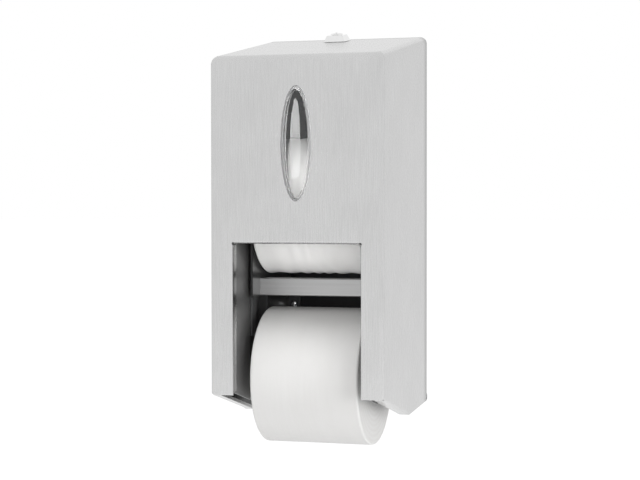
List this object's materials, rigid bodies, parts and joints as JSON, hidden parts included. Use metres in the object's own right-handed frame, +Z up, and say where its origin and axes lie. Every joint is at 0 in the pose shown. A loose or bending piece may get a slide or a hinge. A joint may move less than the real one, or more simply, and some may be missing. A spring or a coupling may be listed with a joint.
{
  "type": "double roll toilet paper dispenser",
  "caption": "Wall-hung folded steel toilet paper dispenser with a hinged locking cover, an oval window and one roll over another behind a sprung drop gate.",
  "frame": {"origin": "middle of the back plate's wall face, 155 mm over the foot of the front panel", "axes": "+Z up, +Y into the wall, the front panel faces -Y and +X is to the right as seen from the front"},
  "size_m": [0.162, 0.1721, 0.3897],
  "materials": {
    "cover_stainless": "vertical brushed grain",
    "inner_stainless": "smooth satin, darker than the cover",
    "coated_steel": "dark coating",
    "zinc_steel": "zinc plated",
    "lock_chrome": "polished",
    "guide_plastic": "dark moulded",
    "spindle_plastic": "pale grey moulded",
    "window_plastic": "clear",
    "nylon": "natural",
    "tissue_paper": "soft wound tissue",
    "core_cardboard": "plain cardboard",
    "spring_steel": "drawn wire"
  },
  "bodies": {
    "wall_unit": {"back_plate": "coated_steel", "latch_keeper": "zinc_steel", "keeper_rivet_1": "zinc_steel", "keeper_rivet_2": "zinc_steel", "guide_screw_lower_left": "zinc_steel", "guide_screw_lower_right": "zinc_steel", "guide_screw_upper_left": "zinc_steel", "guide_screw_upper_right": "zinc_steel", "hinge_pin_left": "zinc_steel", "hinge_pin_right": "zinc_steel", "gate_pin_left": "zinc_steel", "gate_pin_right": "zinc_steel", "side_guide_left": "guide_plastic", "side_guide_right": "guide_plastic", "lower_spindle": "spindle_plastic", "upper_spindle": "spindle_plastic", "hinge_washer_left": "nylon", "hinge_washer_right": "nylon"},
    "cover": {"cover_shell": "cover_stainless", "window_lens": "window_plastic", "lens_retainer": "guide_plastic", "push_nut_lower": "zinc_steel", "push_nut_upper": "zinc_steel", "opening_shield_left": "inner_stainless", "opening_shield_right": "inner_stainless", "lock_housing": "lock_chrome", "lock_nut": "zinc_steel"},
    "lock": {"lock_plug": "lock_chrome", "lock_cam": "zinc_steel", "cam_screw": "zinc_steel"},
    "gate": {"drop_gate": "cover_stainless", "gate_spring_left": "spring_steel", "gate_spring_right": "spring_steel"},
    "lower_roll": {"lower_core": "core_cardboard", "lower_paper_roll": "tissue_paper"},
    "upper_roll": {"upper_core": "core_cardboard", "upper_paper_roll": "tissue_paper"}
  },
  "joints": [
    {"name": "cover_hinge", "type": "hinge", "parent": "wall_unit", "child": "cover", "pos_m": [0, -0.004, -0.17], "axis": [1, 0, 0], "range_deg": [0, 82]},
    {"name": "lock_turn", "type": "hinge", "parent": "cover", "child": "lock", "pos_m": [-0.003, -0.0245, 0.17475], "axis": [0, -0.1717, 0.9851], "range_deg": [0, 90]},
    {"name": "gate_swing", "type": "hinge", "parent": "wall_unit", "child": "gate", "pos_m": [0, -0.0145, -0.06], "axis": [1, 0, 0], "range_deg": [0, 8], "stiffness_Nm_per_rad": 0.6, "springref_deg": -34.38},
    {"name": "lower_roll_spin", "type": "hinge", "parent": "wall_unit", "child": "lower_roll", "pos_m": [0, -0.0829, -0.143], "axis": [1, 0, 0], "continuous": true},
    {"name": "upper_roll_spin", "type": "hinge", "parent": "wall_unit", "child": "upper_roll", "pos_m": [0, -0.0829, 0.0156], "axis": [1, 0, 0], "continuous": true}
  ]
}
